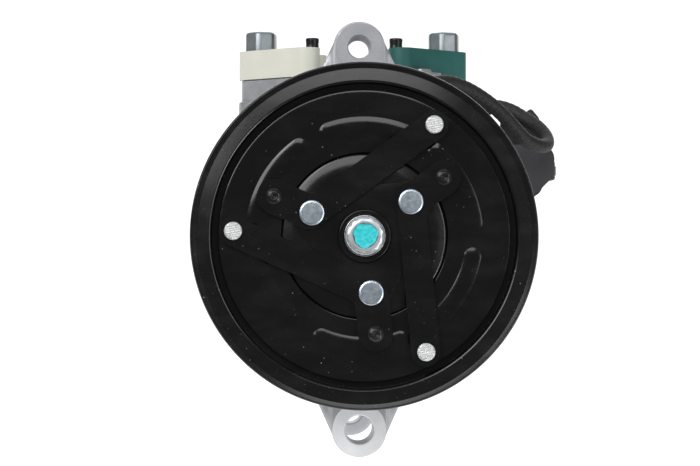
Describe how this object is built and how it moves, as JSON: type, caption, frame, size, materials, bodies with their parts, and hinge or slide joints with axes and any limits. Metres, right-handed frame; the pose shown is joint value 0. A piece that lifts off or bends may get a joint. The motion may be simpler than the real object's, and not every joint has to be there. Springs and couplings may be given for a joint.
{
  "type": "swash plate compressor",
  "caption": "Belt-driven swash-plate refrigerant compressor with an electromagnetic clutch, capped ports, mounting lugs and a sleeved clutch lead.",
  "frame": {"origin": "on the lower mounting bolt's axis, at the front face of the lower front lug", "axes": "+Y along the shaft from the clutch to the rear head, +Z from the lower lug to the upper lug and the ports, +X to the connector's side"},
  "size_m": [0.1511, 0.2288, 0.1845],
  "materials": {
    "cast_aluminium": "shot-blasted casting, satin grey",
    "machined_steel": "machined",
    "bright_zinc": "bright zinc plate",
    "black_paint": "glossy black electrocoat",
    "black_plastic": "moulded, fine grain",
    "ivory_plastic": "moulded, satin",
    "green_plastic": "moulded, satin",
    "rubber": "matt",
    "lead_sleeve": "woven black sleeve",
    "bronze": "turned bearing bronze"
  },
  "bodies": {
    "housing": {"front_head": "cast_aluminium", "rear_head": "cast_aluminium", "front_cylinder_block": "cast_aluminium", "rear_cylinder_block": "cast_aluminium", "port_manifold": "cast_aluminium", "front_valve_plate": "machined_steel", "rear_valve_plate": "machined_steel", "front_reed_plate": "machined_steel", "rear_reed_plate": "machined_steel", "front_needle_bearing": "machined_steel", "rear_needle_bearing": "machined_steel", "pulley_bearing_inner": "machined_steel", "bearing_snap_ring": "machined_steel", "through_bolt_1": "bright_zinc", "through_bolt_2": "bright_zinc", "through_bolt_3": "bright_zinc", "through_bolt_4": "bright_zinc", "through_bolt_5": "bright_zinc", "through_bolt_6": "bright_zinc", "suction_cap_bolt": "bright_zinc", "discharge_cap_bolt": "bright_zinc", "bracket_bolt": "bright_zinc", "clutch_coil": "black_paint", "connector_bracket": "black_paint", "connector_housing": "black_plastic", "suction_cap": "ivory_plastic", "discharge_cap": "green_plastic", "block_o_ring": "rubber", "shaft_seal": "rubber", "suction_cap_plug": "rubber", "discharge_cap_plug": "rubber", "clutch_lead": "lead_sleeve"},
    "shaft": {"drive_shaft": "machined_steel", "swash_hub": "machined_steel", "front_thrust_bearing": "machined_steel", "rear_thrust_bearing": "machined_steel", "clutch_hub": "black_paint", "clutch_nut": "bright_zinc", "leaf_spring_1": "black_paint", "leaf_spring_2": "black_paint", "leaf_spring_3": "black_paint", "hub_rivet_1": "bright_zinc", "hub_rivet_2": "bright_zinc", "hub_rivet_3": "bright_zinc"},
    "armature": {"armature_plate": "black_paint", "armature_rivet_1": "bright_zinc", "armature_rivet_2": "bright_zinc", "armature_rivet_3": "bright_zinc"},
    "pulley": {"pulley": "black_paint", "pulley_bearing_outer": "machined_steel"},
    "swash_ring": {"swash_ring": "bronze"},
    "front_shoe_1": {"front_shoe_1": "machined_steel"},
    "rear_shoe_1": {"rear_shoe_1": "machined_steel"},
    "piston_1": {"piston_1": "cast_aluminium"},
    "front_shoe_2": {"front_shoe_2": "machined_steel"},
    "rear_shoe_2": {"rear_shoe_2": "machined_steel"},
    "piston_2": {"piston_2": "cast_aluminium"},
    "front_shoe_3": {"front_shoe_3": "machined_steel"},
    "rear_shoe_3": {"rear_shoe_3": "machined_steel"},
    "piston_3": {"piston_3": "cast_aluminium"}
  },
  "joints": [
    {"name": "shaft_spin", "type": "hinge", "parent": "housing", "child": "shaft", "pos_m": [0, 0, 0.079], "axis": [0, 1, 0], "continuous": true},
    {"name": "pulley_spin", "type": "hinge", "parent": "housing", "child": "pulley", "pos_m": [0, 0, 0.079], "axis": [0, 1, 0], "continuous": true},
    {"name": "clutch_engage", "type": "slide", "parent": "shaft", "child": "armature", "axis": [0, 1, 0], "range_m": [0, 0.0005], "stiffness_N_per_m": 20000, "springref_m": -0.001},
    {"name": "swash_ring_wobble", "type": "hinge", "parent": "shaft", "child": "swash_ring", "pos_m": [0, 0.0752, 0.079], "axis": [0, 0.943, -0.3328], "continuous": true},
    {"name": "front_shoe_orbit_1", "type": "hinge", "parent": "swash_ring", "child": "front_shoe_1", "pos_m": [0, 0.08686, 0.11203], "axis": [0, 0.943, -0.3328], "continuous": true},
    {"name": "rear_shoe_turn_1", "type": "hinge", "parent": "front_shoe_1", "child": "rear_shoe_1", "pos_m": [0, 0.0872, 0.113], "axis": [0, 0.943, -0.3328], "continuous": true},
    {"name": "piston_ball_1", "type": "hinge", "parent": "rear_shoe_1", "child": "piston_1", "pos_m": [0, 0.0872, 0.113], "axis": [0, 1, 0], "continuous": true},
    {"name": "front_shoe_orbit_2", "type": "hinge", "parent": "swash_ring", "child": "front_shoe_2", "pos_m": [0.03033, 0.06937, 0.06248], "axis": [0, 0.943, -0.3328], "continuous": true},
    {"name": "rear_shoe_turn_2", "type": "hinge", "parent": "front_shoe_2", "child": "rear_shoe_2", "pos_m": [0.02944, 0.0692, 0.062], "axis": [0, 0.943, -0.3328], "continuous": true},
    {"name": "piston_ball_2", "type": "hinge", "parent": "rear_shoe_2", "child": "piston_2", "pos_m": [0.02944, 0.0692, 0.062], "axis": [0, 1, 0], "continuous": true},
    {"name": "front_shoe_orbit_3", "type": "hinge", "parent": "swash_ring", "child": "front_shoe_3", "pos_m": [-0.03033, 0.06937, 0.06248], "axis": [0, 0.943, -0.3328], "continuous": true},
    {"name": "rear_shoe_turn_3", "type": "hinge", "parent": "front_shoe_3", "child": "rear_shoe_3", "pos_m": [-0.02944, 0.0692, 0.062], "axis": [0, 0.943, -0.3328], "continuous": true},
    {"name": "piston_ball_3", "type": "hinge", "parent": "rear_shoe_3", "child": "piston_3", "pos_m": [-0.02944, 0.0692, 0.062], "axis": [0, 1, 0], "continuous": true}
  ],
  "couplings": [
    {"joint": "swash_ring_wobble", "follows": "shaft_spin", "ratio": -1},
    {"joint": "front_shoe_orbit_1", "follows": "shaft_spin", "ratio": 2},
    {"joint": "rear_shoe_turn_1", "follows": "shaft_spin", "ratio": -1},
    {"joint": "piston_ball_1", "follows": "shaft_spin", "ratio": -1},
    {"joint": "front_shoe_orbit_2", "follows": "shaft_spin", "ratio": 2},
    {"joint": "rear_shoe_turn_2", "follows": "shaft_spin", "ratio": -1},
    {"joint": "piston_ball_2", "follows": "shaft_spin", "ratio": -1},
    {"joint": "front_shoe_orbit_3", "follows": "shaft_spin", "ratio": 2},
    {"joint": "rear_shoe_turn_3", "follows": "shaft_spin", "ratio": -1},
    {"joint": "piston_ball_3", "follows": "shaft_spin", "ratio": -1}
  ]
}
